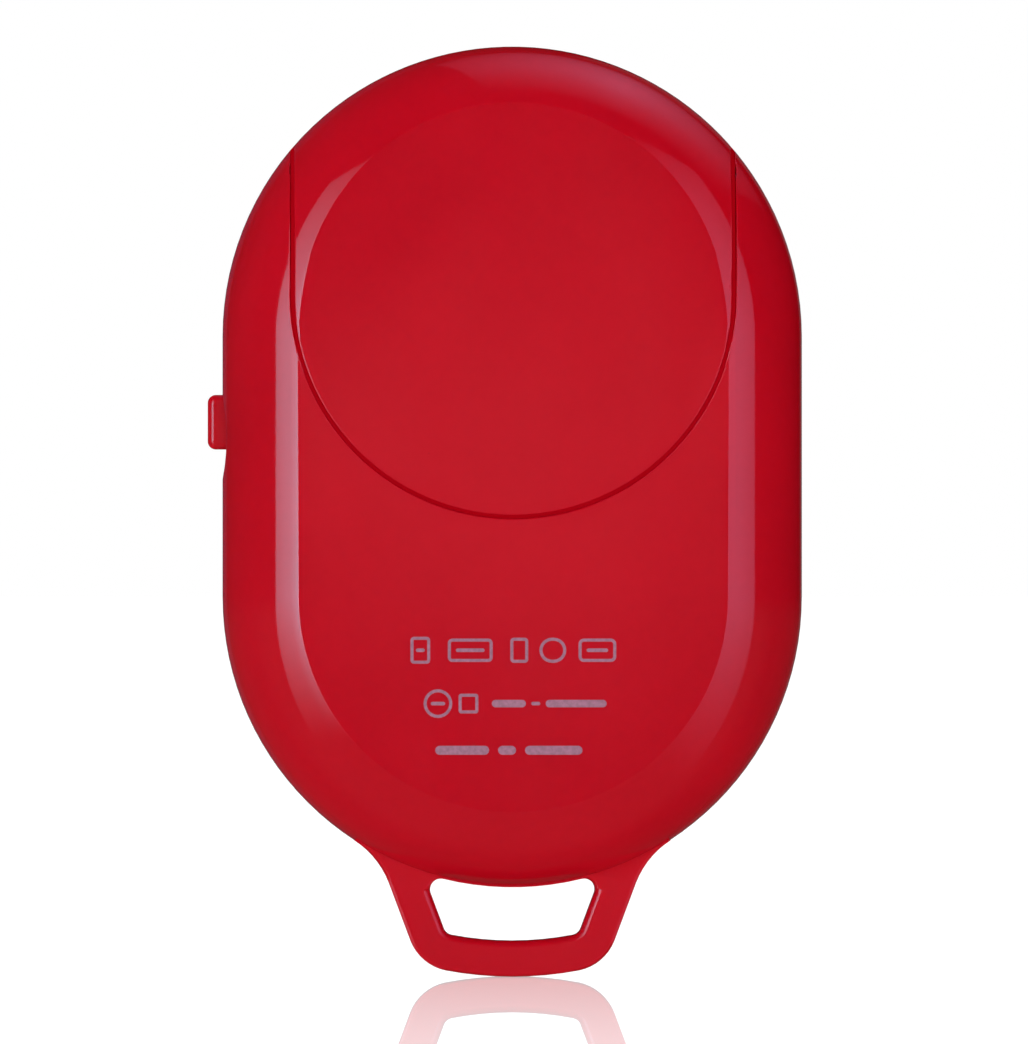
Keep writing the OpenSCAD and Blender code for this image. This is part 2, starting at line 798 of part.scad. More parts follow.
module power_switch_knob() {
    low = knob_z - knob_l / 2;
    outer_x = -half_w - knob_proud;
    inner_x = knob_flange_x + knob_flange_t;
    socket_w = lever_w + 2 * lever_gap;
    socket_t = slider_top_h - slider_low_h + 2 * lever_gap;
    color(case_red) difference() {
        slab(lever_y - knob_t / 2, lever_y + knob_t / 2) {
            translate([outer_x + knob_corner_r, low]) square([inner_x - outer_x - knob_corner_r, knob_l]);
            translate([outer_x, low + knob_corner_r]) square([knob_corner_r, knob_l - 2 * knob_corner_r]);
            for (end = [low + knob_corner_r, low + knob_l - knob_corner_r])
                translate([outer_x + knob_corner_r, end]) circle(knob_corner_r);
            translate([knob_flange_x, low - knob_flange_reach])
                square([knob_flange_t, knob_l + 2 * knob_flange_reach]);
        }
        translate([
            switch_front_x - lever_reach - lever_gap,
            lever_y - socket_t / 2,
            knob_z - socket_w / 2
        ]) cube([lever_reach, socket_t, socket_w]);
    }
}

module power_switch_case() {
    slot_l = lever_w + knob_travel + 2 * knob_gap;
    mid = [switch_front_x + switch_w / 2, switch_z];
    color(steel) difference() {
        block(mid, switch_w, switch_l, board_y + touch_gap, board_y + switch_h);
        block(
            mid, switch_w - 2 * switch_metal_t, switch_l - 2 * switch_metal_t,
            board_y - overrun, board_y + switch_h - switch_metal_t
        );
        translate([switch_front_x - overrun, board_y + slider_low_h - lever_gap, switch_z - slot_l / 2])
            cube([
                overrun + switch_metal_t + touch_gap,
                slider_top_h - slider_low_h + 2 * lever_gap,
                slot_l
            ]);
    }
}

module power_switch_base() {
    inner_w = switch_w - 2 * switch_metal_t - 2 * touch_gap;
    inner_l = switch_l - 2 * switch_metal_t - 2 * touch_gap;
    color(resin_black) block(
        [switch_front_x + switch_w / 2, switch_z], inner_w, inner_l,
        board_y + touch_gap, board_y + switch_base_h
    );
}

module power_switch_slider() {
    body_w = switch_w - 2 * switch_metal_t - 2 * lever_gap;
    color("#e8e4da") {
        block(
            [switch_front_x + switch_w / 2, knob_z], body_w, slider_l,
            board_y + slider_low_h, board_y + slider_top_h
        );
        translate([switch_front_x - lever_reach, board_y + slider_low_h, knob_z - lever_w / 2])
            cube([lever_reach + switch_w / 2, slider_top_h - slider_low_h, lever_w]);
    }
}

// Leaf that the slider drags across the switch's contacts
module power_switch_wiper() {
    color(brass) block(
        [switch_front_x + switch_w / 2, knob_z], switch_w / 3, slider_l * 0.8,
        board_y + switch_base_h + touch_gap, board_y + switch_base_h + touch_gap + wiper_h
    );
}

module power_switch_terminals() {
    back_x = switch_front_x + switch_w + touch_gap;
    color(tin) for (i = [-1:1]) block(
        [back_x + terminal_reach / 2, switch_z + i * switch_l / 3], terminal_reach, terminal_w / 2,
        board_y + touch_gap, board_y + touch_gap + contact_t
    );
}

module radio_chip() {
    color(resin_black) block(
        board_place(radio_share), radio_w, radio_w,
        board_y + touch_gap, board_y + radio_h
    );
}

// Chip with four gull-wing leads on each long side
module memory_chip() {
    place = board_place(memory_share);
    lead_w = memory_l / 12;
    lead_reach = memory_w / 4;
    lead_t = contact_t;
    stand_off = lead_t / 2;
    color(resin_black) block(place, memory_l, memory_w, board_y + stand_off, board_y + memory_h);
    color(tin) for (side = [-1, 1], i = [-1.5:1.5]) {
        lead = place + [i * memory_l / 4, side * (memory_w / 2 + lead_reach / 2)];
        block(lead, lead_w, lead_reach, board_y + touch_gap, board_y + touch_gap + lead_t);
        block(
            place + [i * memory_l / 4, side * (memory_w / 2 + lead_t / 2)], lead_w, lead_t,
            board_y + touch_gap, board_y + memory_h / 2
        );
    }
}

module crystal() {
    color(tin) block(
        board_place(crystal_share), crystal_l, crystal_w,
        board_y + touch_gap, board_y + crystal_h
    );
}

module resistors() {
    color(resin_black) for (share = resistor_shares)
        block(board_place(share), passive_l, passive_w, board_y + touch_gap, board_y + resistor_h);
}

module capacitors() {
    color("#b08a5a") for (share = capacitor_shares)
        block(board_place(share), passive_l, passive_w, board_y + touch_gap, board_y + capacitor_h);
}

module status_led() {
    color("#f1efe2") block([0, led_z], led_l, led_w, board_y + touch_gap, board_y + led_h);
}

// Light pipe from the status lamp to the front face
module led_lens() {
    flange_front_y = face_y - touch_gap;
    color([0.85, 0.9, 1, 0.6]) {
        disc([0, led_z], lens_d, board_y + led_h + key_travel, front_depth);
        disc([0, led_z], lens_d + 2 * lens_flange_w, flange_front_y - lens_flange_t, flange_front_y);
    }
}

rear_cover();
front_cover();
battery_door();
battery_can();
battery_cap();
battery_gasket();
battery_cathode();
battery_separator();
battery_anode();
positive_contact();
negative_contact();
circuit_board();
board_screws();
antenna_track();
key([0, main_key_z], main_key_d);  // main_key
tact_base([0, main_key_z]);  // main_tact_base
tact_dome([0, main_key_z]);  // main_tact_dome
tact_plunger([0, main_key_z]);  // main_tact_plunger
tact_cover([0, main_key_z]);  // main_tact_cover
tact_terminals([0, main_key_z]);  // main_tact_terminals
key([0, second_key_z], second_key_d);  // second_key
tact_base([0, second_key_z]);  // second_tact_base
tact_dome([0, second_key_z]);  // second_tact_dome
tact_plunger([0, second_key_z]);  // second_tact_plunger
tact_cover([0, second_key_z]);  // second_tact_cover
tact_terminals([0, second_key_z]);  // second_tact_terminals
power_switch_knob();
power_switch_slider();
power_switch_wiper();
power_switch_base();
power_switch_case();
power_switch_terminals();
radio_chip();
memory_chip();
crystal();
resistors();
capacitors();
status_led();
led_lens();
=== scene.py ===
import json
import math

import bmesh
import bpy
from mathutils import Matrix, Vector


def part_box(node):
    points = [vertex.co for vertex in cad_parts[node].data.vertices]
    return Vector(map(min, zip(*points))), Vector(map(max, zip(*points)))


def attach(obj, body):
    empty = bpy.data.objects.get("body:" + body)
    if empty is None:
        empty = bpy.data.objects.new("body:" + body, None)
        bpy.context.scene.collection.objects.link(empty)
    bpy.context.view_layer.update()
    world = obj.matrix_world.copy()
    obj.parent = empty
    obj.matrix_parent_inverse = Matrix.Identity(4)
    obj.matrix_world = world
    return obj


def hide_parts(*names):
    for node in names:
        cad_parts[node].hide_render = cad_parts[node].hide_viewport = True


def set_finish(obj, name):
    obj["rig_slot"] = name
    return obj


# Looks of the camera shutter remote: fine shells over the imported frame, their finishes, and a white studio.

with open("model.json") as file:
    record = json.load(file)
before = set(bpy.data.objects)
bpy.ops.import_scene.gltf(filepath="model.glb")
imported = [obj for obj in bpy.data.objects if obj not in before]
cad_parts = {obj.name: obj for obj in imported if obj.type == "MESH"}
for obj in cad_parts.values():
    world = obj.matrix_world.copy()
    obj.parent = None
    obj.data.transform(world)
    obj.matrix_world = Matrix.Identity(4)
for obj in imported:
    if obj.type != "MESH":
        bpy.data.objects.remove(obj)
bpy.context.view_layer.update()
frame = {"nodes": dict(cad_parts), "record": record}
NODES = frame["nodes"]
BODY_OF = {node: body for body, nodes in frame["record"]["behaviour"]["bodies"].items() for node in nodes}
SLOT_OF = {part["node"]: part["material_slot"] for part in frame["record"]["subparts"]}

MM = 0.001
# Keeps a length or an area from being zero
TINY = 1e-9

# Sizes of the case that the frame gives, in millimetres
REAR_LOW, REAR_HIGH = (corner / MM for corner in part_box("rear_cover"))
FRONT_LOW, FRONT_HIGH = (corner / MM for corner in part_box("front_cover"))
HALF_W = REAR_HIGH.x
END_Z = REAR_HIGH.z
FOOT_Z = FRONT_LOW.z
LOW_Z = FOOT_Z + HALF_W
HIGH_Z = END_Z - HALF_W
DOOR_HALF_W = 12.2
DOOR_GAP = 0.2
DOOR_END_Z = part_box("battery_door")[0].z / MM + DOOR_HALF_W
MIDDLE_Z = (FOOT_Z + END_Z) / 2

# Rounded edges, as the part's source has them, in millimetres
REAR_EDGE_R = 5.2
REAR_EDGE_W = 4.25
FRONT_EDGE_R = 4.0
FRONT_EDGE_W = 3.4
# How much narrower the rear's rounded edge is at the top of the domed end
DOME_NARROWING = 1.04
DOME_POWER = 1.5
# Thickness of the pad print, which the rear face makes room for
PRINT_T = 0.008

# Distance from the door's edge over which the narrowing sets in
DOME_BLEND = 1.2

# Kinds of face on a shell
OTHER, FLAT, ROUND, SIDE, BAND = range(5)
# How far a corner may lie off a stretch of the skin and still belong to it, in millimetres
FLAT_SLACK, PLAN_SLACK = 0.004, 0.03
SIDE_SLACK, ROUND_SLACK = 0.02, 0.02
LEVEL_SLACK, FOOT_SLACK = 0.01, 0.001


def edge_drop(radius, width):
    """Drop of a rounded edge from the flat face to the upright side."""
    return math.sqrt(radius ** 2 - (radius - width) ** 2)


class Skin:
    """The outer surface of one cover: an upright side, a rounded edge and a flat face, round a stadium."""

    def __init__(self, depth, radius, width, sign, narrowing, lift):
        self.depth, self.radius, self.width, self.sign = depth, radius, width, sign
        self.side = depth - edge_drop(radius, width)
        self.narrowing, self.lift = narrowing, lift

    def place(self, co):
        """Radial direction in the plan, distance from the middle line, and the sine of the dome angle."""
        centre_z = min(max(co.z, LOW_Z), HIGH_Z)
        radial = Vector((co.x, 0, co.z - centre_z))
        rho = radial.length
        radial = radial / rho if rho > TINY else Vector((0, 0, 1))
        return radial, rho, max(0.0, radial.z) if co.z > HIGH_Z else 0.0

    def kind(self, face):
        """The stretch of the skin that a face lies on, by all its corners."""
        fits = {FLAT, ROUND, SIDE}
        for vert in face.verts:
            _, rho, _ = self.place(vert.co)
            out = vert.co.y * self.sign
            if abs(out - self.depth) > FLAT_SLACK or rho > HALF_W - self.width + PLAN_SLACK:
                fits.discard(FLAT)
            if abs(rho - HALF_W) > SIDE_SLACK or out > self.side + LEVEL_SLACK or out < -FOOT_SLACK:
                fits.discard(SIDE)
            spread = math.hypot(rho - (HALF_W - self.radius), out - self.side)
            if abs(spread - self.radius) > ROUND_SLACK or out < self.side - LEVEL_SLACK:
                fits.discard(ROUND)
        if FLAT in fits:
            return FLAT
        return SIDE if SIDE in fits else ROUND if ROUND in fits else OTHER

    def true_place(self, co, kind):
        """A corner of the mesh, moved onto the exact surface."""
        radial, rho, _ = self.place(co)
        axis = Vector((co.x, 0, co.z)) - radial * rho
        if kind == SIDE:
            return axis + radial * HALF_W + Vector((0, co.y, 0))
        centre = HALF_W - self.radius
        reach, out = rho - centre, co.y * self.sign - self.side
        scale = self.radius / math.hypot(reach, out)
        level = self.side + out * scale
        return axis + radial * (centre + reach * scale) + Vector((0, self.sign * level, 0))

    def profile(self, rise):
        """Width and radius of the rounded edge at a place on the dome."""
        width = self.width - self.narrowing * rise ** DOME_POWER
        drop = self.depth - self.side
        return width, (drop ** 2 + width ** 2) / (2 * width)

    def shape(self, co):
        """A corner of the rounded edge, moved to where the narrowing of the dome puts it."""
        radial, rho, rise = self.place(co)
        if rise == 0 or self.narrowing == 0:
            return co.copy()
        axis = Vector((co.x, 0, co.z)) - radial * rho
        width, radius = self.profile(rise)
        inward = max(0.0, HALF_W - rho)
        tilt = math.asin(min(1.0, (self.radius - inward) / self.radius))
        first = math.asin((self.radius - self.width) / self.radius)
        new_first = math.asin((radius - width) / radius)
        share = (tilt - first) / (math.pi / 2 - first)
        mapped = radius * (1 - math.sin(new_first + share * (math.pi / 2 - new_first)))
        free = min(1.0, abs(abs(co.x) - DOOR_HALF_W) / DOME_BLEND)
        inward += (mapped - inward) * free
        return axis + radial * (HALF_W - inward) + Vector((0, self.sign * self.height(inward, radius), 0))

    def surface(self, x, z):
        """Point of the surface over a place in the plan, with the usual width of rounded edge."""
        inward = HALF_W - self.place(Vector((x, 0, z)))[1]
        if inward >= self.width:
            return Vector((x, self.sign * self.depth, z))
        return Vector((x, self.sign * self.height(inward, self.radius), z))

    def height(self, inward, radius):
        """Distance of the rounded edge from the seam's plane, at a distance inward from the side."""
        inward = min(max(inward, 0.0), radius)
        return self.side + math.sqrt(radius ** 2 - (radius - inward) ** 2)

    def normal(self, co, kind):
        """The surface's own normal, which gives smooth gloss whatever the mesh."""
        radial, rho, rise = self.place(co)
        if kind == FLAT:
            return Vector((0, self.sign, 0))
        if kind == SIDE:
            return radial
        _, radius = self.profile(rise)
        lean = min(1.0, max(0.0, (radius - (HALF_W - rho)) / radius))
        return radial * lean + Vector((0, self.sign * math.sqrt(1 - lean ** 2), 0))


REAR_SKIN = Skin(-REAR_LOW.y, REAR_EDGE_R, REAR_EDGE_W, -1, DOME_NARROWING, PRINT_T)
FRONT_SKIN = Skin(FRONT_HIGH.y, FRONT_EDGE_R, FRONT_EDGE_W, 1, 0.0, 0.0)


# Corners nearer than this are one corner, in millimetres, and faces that turn less than this are one face
MERGE_DIST = 0.0005
FLAT_TURN = math.radians(0.2)
# Sharpest turns between two faces that still count as one surface
BAND_SMOOTH, LEVEL_SMOOTH, WALL_SMOOTH = math.radians(40), math.radians(6), math.radians(32)
# Least turn of an edge that is rounded
CORNER_ANGLE = math.radians(28)
# What stands for the turn to a face without a normal
STRAIGHT = math.pi
# Least part of a level face's normal along Y
LEVEL_Y = 0.94

# Rounding of the shells' edges, in millimetres
GROOVE_ROUND = 0.09
# How far the skin's corners keep from the gap's edge, give or take, and from what depth they are put square
GROOVE_CLEAR, GROOVE_SLACK = 0.13, 0.02
GROOVE_COMB_Y = 4.9
LOOP_ROUND = 0.2
WINDOW_ROUND = 0.4
SEAM_ROUND = 0.07
KEY_ROUND = 0.09
KNOB_ROUND = 0.36
# Steps of a rounded edge, in general and where it is wide
ROUND_STEPS, WINDOW_STEPS, KNOB_STEPS = 2, 4, 5
# Profile of a bevel that makes it an arc
ARC_PROFILE = 0.5


def add_object(name, data):
    """New object in the scene."""
    thing = bpy.data.objects.new(name, data)
    bpy.context.scene.collection.objects.link(thing)
    return thing


def mesh_of(bm, name):
    """New mesh in metres, of a form in millimetres, which is used up."""
    bmesh.ops.scale(bm, vec=(MM,) * 3, verts=bm.verts)
    mesh = bpy.data.meshes.new(name)
    bm.to_mesh(mesh)
    bm.free()
    return mesh


class Shell:
    """A fine copy of a CAD node: exact outer surfaces, rounded edges and smooth gloss."""

    def __init__(self, node, skin=None):
        self.node, self.skin = node, skin
        self.bm = bmesh.new()
        self.bm.from_mesh(NODES[node].data)
        bmesh.ops.scale(self.bm, vec=(1 / MM,) * 3, verts=self.bm.verts)
        bmesh.ops.remove_doubles(self.bm, verts=self.bm.verts, dist=MERGE_DIST)
        bmesh.ops.dissolve_limit(self.bm, angle_limit=FLAT_TURN, verts=self.bm.verts, edges=self.bm.edges)
        self.kind = self.bm.faces.layers.int.new("kind")
        self.band = self.bm.verts.layers.float.new("band")
        self.sort_faces()

    def sort_faces(self):
        """Marks every face with its stretch of the skin."""
        for face in self.bm.faces:
            face[self.kind] = self.skin.kind(face) if self.skin else OTHER

    def kinds(self, vert):
        """Kinds of the faces round a corner."""
        return {face[self.kind] for face in vert.link_faces}

    def refine(self):
        """Puts every corner of the rounded stretches on the exact surface."""
        for vert in self.bm.verts:
            kinds = self.kinds(vert)
            for kind in (ROUND, SIDE):
                if kind in kinds:
                    vert.co = self.skin.true_place(vert.co, kind)

    def reshape(self):
        """Narrows the rounded edge over the dome, and lowers the flat face to leave room for the print."""
        for vert in self.bm.verts:
            kinds = self.kinds(vert)
            if ROUND in kinds:
                vert.co = self.skin.shape(vert.co)
            if FLAT in kinds:
                vert.co.y -= self.skin.sign * self.skin.lift

    def clear_groove(self, half_width, side):
        """Moves corners of the skin away from the door's gap, to make room for its rounded edge.

        The gap's edge lies half_width from the middle line, and the skin is inside it (-1) or outside (1).
        """
        for vert in self.bm.verts:
            kinds = self.kinds(vert)
            if not kinds or not kinds <= {FLAT, ROUND}:
                continue
            away = from_door_middle(vert.co)
            missing = GROOVE_CLEAR - (away.length - half_width) * side
            moved = vert.co + away.normalized() * missing * side
            on_plan = self.skin.place(moved)[1] < HALF_W - PLAN_SLACK
            if 0 < missing < GROOVE_CLEAR + GROOVE_SLACK and on_plan:
                vert.co = self.skin.surface(moved.x, moved.z)
                if FLAT in kinds:
                    vert.co.y = self.skin.sign * (self.skin.depth - self.skin.lift)
        loose = [v for v in self.bm.verts if self.kinds(v) <= {FLAT, ROUND}]
        bmesh.ops.remove_doubles(self.bm, verts=loose, dist=GROOVE_SLACK)

    def soften(self, width, wanted, steps=ROUND_STEPS):
        """Rounds the sharp outer edges that are asked for."""
        self.bm.normal_update()
        edges = [e for e in self.bm.edges if self.is_corner(e) and wanted(e)]
        made = bmesh.ops.bevel(
            self.bm, geom=edges, offset=width, offset_type="OFFSET", segments=steps,
            profile=ARC_PROFILE, affect="EDGES", clamp_overlap=False, loop_slide=False
        )
        for face in made["faces"]:
            face[self.kind] = BAND
            for vert in face.verts:
                vert[self.band] = 1.0

    def comb_groove(self, half_width, side):
        """Puts the inner corners of the groove's rounding square to the corners on the gap's wall."""
        places = []
        for vert in self.bm.verts:
            kinds = self.kinds(vert)
            if BAND not in kinds or OTHER in kinds or not kinds & {FLAT, ROUND}:
                continue
            between = [v for v in neighbours(vert) if self.kinds(v) == {BAND}]
            outer = [v for first in between for v in neighbours(first) if self.kinds(v) == {BAND, OTHER}]
            if len(between) != 1 or len(outer) != 1:
                continue
            wall = outer[0].co
            away = from_door_middle(wall)
            if abs(away.length - half_width) > GROOVE_SLACK or abs(wall.y) < GROOVE_COMB_Y:
                continue
            inside = wall + away.normalized() * GROOVE_ROUND * side
            places.append((vert, between[0], self.skin.surface(inside.x, inside.z)))
        for vert, between, place in places:
            shift = place - vert.co
            vert.co = place
            between.co += Vector((0, shift.y / 2, shift.z / 2))

    @staticmethod
    def is_corner(edge):
        return len(edge.link_faces) == 2 and edge.is_convex and edge.calc_face_angle() > CORNER_ANGLE

    def gloss_normal(self, face, vert):
        """The skin's own normal, or elsewhere the mean of the faces round a corner that are smooth."""
        kind = face[self.kind]
        if kind in (FLAT, ROUND, SIDE):
            return self.skin.normal(vert.co, kind)
        if kind == BAND:
            for other in vert.link_faces:
                if other[self.kind] in (FLAT, ROUND, SIDE):
                    return self.skin.normal(vert.co, other[self.kind])
            near = [f for f in vert.link_faces if f[self.kind] == OTHER] or list(vert.link_faces)
            near = [f for f in near if f.normal.angle(near[0].normal, STRAIGHT) < BAND_SMOOTH]
        else:
            limit = LEVEL_SMOOTH if abs(face.normal.y) > LEVEL_Y else WALL_SMOOTH
            near = [
                f for f in vert.link_faces
                if f[self.kind] == OTHER and f.normal.angle(face.normal, STRAIGHT) < limit
            ]
        total = Vector()
        for other in near:
            total += other.normal * max(other.calc_area(), TINY)
        return total.normalized() if total.length > 0 else face.normal

    def finish(self, name):
        """Writes the mesh as a new piece that stands for its node, with nothing above its flat face."""
        if self.skin:
            top = self.skin.depth - self.skin.lift
            for vert in self.bm.verts:
                vert.co.y = self.skin.sign * min(self.skin.sign * vert.co.y, top)
        self.bm.normal_update()
        self.bm.faces.ensure_lookup_table()
        normals = [
            tuple(self.gloss_normal(loop.face, loop.vert)) for face in self.bm.faces for loop in face.loops
        ]
        mesh = mesh_of(self.bm, name)
        mesh.shade_smooth()
        mesh.normals_split_custom_set(normals)
        piece = add_object(name, mesh)
        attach(piece, BODY_OF[self.node])
        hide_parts(self.node)
        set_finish(piece, SLOT_OF[self.node])
        return piece


def middle(edge):
    return (edge.verts[0].co + edge.verts[1].co) / 2


def neighbours(vert):
    return [edge.other_vert(vert) for edge in vert.link_edges]


def from_door_middle(co):
    """Way in the plan to a place from the middle line of the door, or from the middle of its round end."""
    return Vector((co.x, 0, min(0.0, co.z - DOOR_END_Z)))


def on_skin(shell, edge):
    return any(face[shell.kind] in (FLAT, ROUND, SIDE) for face in edge.link_faces)


# Lines between the rim of the loop's window and the loop's outer edge, in millimetres
WINDOW_HALF_W, WINDOW_SLOPE, WINDOW_LOW, WINDOW_HIGH = 3.95, 0.374, 1.4, 5.0
WINDOW_REAR_Y = -1
# How far from the case the rounding of the loop's edges starts
LOOP_START = 0.03
# Edges nearer than this to the seam's plane are the seam's own
SEAM_REACH = 0.2


def is_loop_edge(edge):
    """Whether an edge belongs to the lanyard loop, below the case."""
    place = middle(edge)
    _, rho, _ = REAR_SKIN.place(place)
    return place.z < LOW_Z and rho > HALF_W + LOOP_START


def is_window_edge(edge):
    """Whether an edge belongs to the rear rim of the loop's window, apart from its end at the case."""
    place = middle(edge)
    inside = abs(place.x) < WINDOW_HALF_W + WINDOW_SLOPE * place.z and WINDOW_LOW < place.z < WINDOW_HIGH
    return is_loop_edge(edge) and place.y < WINDOW_REAR_Y and inside


def make_rear_cover():
    shell = Shell("rear_cover", REAR_SKIN)
    shell.refine()
    shell.reshape()
    shell.clear_groove(DOOR_HALF_W + DOOR_GAP, 1)
    shell.soften(WINDOW_ROUND, is_window_edge, WINDOW_STEPS)
    shell.soften(LOOP_ROUND, lambda e: is_loop_edge(e) and not is_window_edge(e))
    shell.soften(GROOVE_ROUND, lambda e: on_skin(shell, e) and abs(middle(e).y) > SEAM_REACH)
    shell.soften(SEAM_ROUND, lambda e: on_skin(shell, e) and abs(middle(e).y) <= SEAM_REACH)
    return shell.finish("rear_cover_shell")


# The lip round the door, which closes its gap under the surface: depth, thickness and reach past the door
LIP_DEPTH, LIP_TOP_DEPTH = 0.12, 0.02
LIP_T = 0.3
LIP_IN, LIP_OUT = -0.04, DOOR_GAP - 0.004
# Where the groove above the lip starts to grow shallow, and where it ends, on its way to the domed end
GROOVE_FADE_Z, GROOVE_TOP_Z = 44.2, 45.5
# How far inside the case's outline the lip ends
LIP_INSIDE = 0.01
LIP_STRAIGHT_STEPS = 60
LIP_TURN_STEPS = 60


def lip_path():
    """Places in the plan along the door's edge, with the direction away from the door at each."""
    reach = HALF_W - LIP_INSIDE
    top_z = HIGH_Z + math.sqrt(reach ** 2 - (DOOR_HALF_W + LIP_OUT) ** 2)
    steps = range(LIP_STRAIGHT_STEPS)
    heights = [DOOR_END_Z + (top_z - DOOR_END_Z) * step / LIP_STRAIGHT_STEPS for step in steps]
    heights.append(top_z)
    right = [((DOOR_HALF_W, z), (1, 0)) for z in reversed(heights)]
    turn = [math.pi * step / LIP_TURN_STEPS for step in range(1, LIP_TURN_STEPS)]
    ways = [(math.cos(angle), -math.sin(angle)) for angle in turn]
    under = [((DOOR_HALF_W * way[0], DOOR_END_Z + DOOR_HALF_W * way[1]), way) for way in ways]
    left = [((-DOOR_HALF_W, z), (-1, 0)) for z in heights]
    return right + under + left


def make_door_lip():
    """The lip, a closed strip of rectangular section that rides on the door."""
    bm = bmesh.new()
    rings = []
    for (x, z), (out_x, out_z) in lip_path():
        share = min(1.0, max(0.0, (z - GROOVE_FADE_Z) / (GROOVE_TOP_Z - GROOVE_FADE_Z)))
        top = LIP_DEPTH + (LIP_TOP_DEPTH - LIP_DEPTH) * share
        ring = []
        for reach, depth in ((LIP_IN, top), (LIP_OUT, top), (LIP_OUT, top + LIP_T), (LIP_IN, top + LIP_T)):
            place = REAR_SKIN.surface(x + out_x * reach, z + out_z * reach)
            ring.append(bm.verts.new(place + Vector((0, depth, 0))))
        rings.append(ring)
    for first, second in zip(rings, rings[1:]):
        for side in range(4):
            after = (side + 1) % 4
            bm.faces.new((first[side], second[side], second[after], first[after]))
    bm.faces.new(rings[0])
    bm.faces.new(reversed(rings[-1]))
    bmesh.ops.recalc_face_normals(bm, faces=bm.faces)
    piece = add_object("door_lip", mesh_of(bm, "door_lip"))
    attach(piece, BODY_OF["battery_door"])
    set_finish(piece, SLOT_OF["battery_door"])
    # The lip's darker, glossless red is painted shade of the gap
    piece.data.materials.append(lip_shade_red())


def make_battery_door():
    shell = Shell("battery_door", REAR_SKIN)
    shell.refine()
    shell.reshape()
    shell.clear_groove(DOOR_HALF_W, -1)
    shell.soften(GROOVE_ROUND, lambda e: on_skin(shell, e))
    shell.comb_groove(DOOR_HALF_W, -1)
    return shell.finish("battery_door_shell")


def make_front_cover():
    shell = Shell("front_cover", FRONT_SKIN)
    shell.refine()
    shell.soften(SEAM_ROUND, lambda e: on_skin(shell, e))
    return shell.finish("front_cover_shell")


def make_key(node):
    shell = Shell(node)
    shell.soften(KEY_ROUND, lambda e: middle(e).y > FRONT_HIGH.y)
    return shell.finish(node + "_cap")


def make_knob():
    shell = Shell("power_switch_knob")
    shell.soften(KNOB_ROUND, lambda e: middle(e).x < -HALF_W, KNOB_STEPS)
    return shell.finish("power_switch_knob_cap")


# Generic pad print: plain frames and bars where the real rows of marks are

# Heights of the rows, room left above the ink, and the line of a frame, in millimetres
PRINT_ROWS = (18.27, 15.3, 12.7)
PRINT_LIFT = 0.001
FRAME_STROKE, FRAME_LEAST_R = 0.17, 0.05
# Steps of a mark's rounded corner
CORNER_STEPS = 6
# Width, height and corner radius of a bar, or of a frame, and the place of its middle along the row
ROW_MARKS = (
    (("frame", 1.1, 1.5, 0.2, -5.18), ("bar", 0.5, 0.2, 0.1, -5.18), ("frame", 2.5, 1.3, 0.25, -2.4),
     ("bar", 1.6, 0.2, 0.1, -2.4), ("frame", 1.0, 1.4, 0.2, 0.33), ("frame", 1.5, 1.4, 0.7, 2.2),
     ("frame", 2.1, 1.3, 0.3, 4.68), ("bar", 1.2, 0.2, 0.1, 4.68)),
    (("frame", 1.6, 1.6, 0.8, -4.2), ("bar", 0.8, 0.2, 0.1, -4.2), ("frame", 1.1, 1.1, 0.15, -2.5),
     ("bar", 1.9, 0.42, 0.21, -0.25), ("bar", 0.5, 0.2, 0.1, 1.25), ("bar", 3.4, 0.42, 0.21, 3.5)),
    (("bar", 3.0, 0.5, 0.25, -2.85), ("bar", 1.0, 0.5, 0.25, -0.35), ("bar", 3.2, 0.5, 0.25, 2.25)),
)


def rounded_outline(width, height, radius, x, z):
    """Corners of a rounded rectangle, anticlockwise as seen from the rear."""
    radius = min(radius, width / 2, height / 2)
    points = []
    for corner in range(4):
        sx, sz = ((1, 1), (-1, 1), (-1, -1), (1, -1))[corner]
        for step in range(CORNER_STEPS + 1):
            turn = math.radians(90 * corner + 90 / CORNER_STEPS * step)
            points.append((
                x + sx * (width / 2 - radius) + radius * math.cos(turn),
                z + sz * (height / 2 - radius) + radius * math.sin(turn),
            ))
    return points


def make_print():
    """The marks, as thin ink that lies on the rear face."""
    bm = bmesh.new()
    out_y = REAR_LOW.y + PRINT_LIFT
    in_y = REAR_LOW.y + PRINT_T + PRINT_LIFT
    for row_z, marks in zip(PRINT_ROWS, ROW_MARKS):
        for shape, width, height, radius, x in marks:
            outer = rounded_outline(width, height, radius, x, row_z)
            rings = [outer]
            if shape == "frame":
                inner_radius = max(radius - FRAME_STROKE, FRAME_LEAST_R)
                rings.append(rounded_outline(
                    width - 2 * FRAME_STROKE, height - 2 * FRAME_STROKE, inner_radius, x, row_z
                ))
            lids = [[bm.verts.new((px, out_y, pz)) for px, pz in ring] for ring in rings]
            feet = [[bm.verts.new((px, in_y, pz)) for px, pz in ring] for ring in rings]
            count = len(outer)
            for step in range(count):
                after = (step + 1) % count
                bm.faces.new((lids[0][step], feet[0][step], feet[0][after], lids[0][after]))
                if len(rings) > 1:
                    bm.faces.new((lids[1][after], feet[1][after], feet[1][step], lids[1][step]))
                    bm.faces.new((lids[0][step], lids[0][after], lids[1][after], lids[1][step]))
                    bm.faces.new((feet[1][step], feet[1][after], feet[0][after], feet[0][step]))
            if len(rings) == 1:
                bm.faces.new(lids[0])
                bm.faces.new(reversed(feet[0]))
    bmesh.ops.recalc_face_normals(bm, faces=bm.faces)
    piece = add_object("rear_print", mesh_of(bm, "rear_print"))
    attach(piece, BODY_OF["rear_cover"])
    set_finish(piece, SLOT_OF["rear_cover"])
    piece.data.materials.append(print_lilac())


# Materials

RESIN_IOR = 1.5
# Sockets of a Mix node's two colours, and of their mixture
MIX_FIRST, MIX_SECOND, MIX_OUT = 6, 7, 2
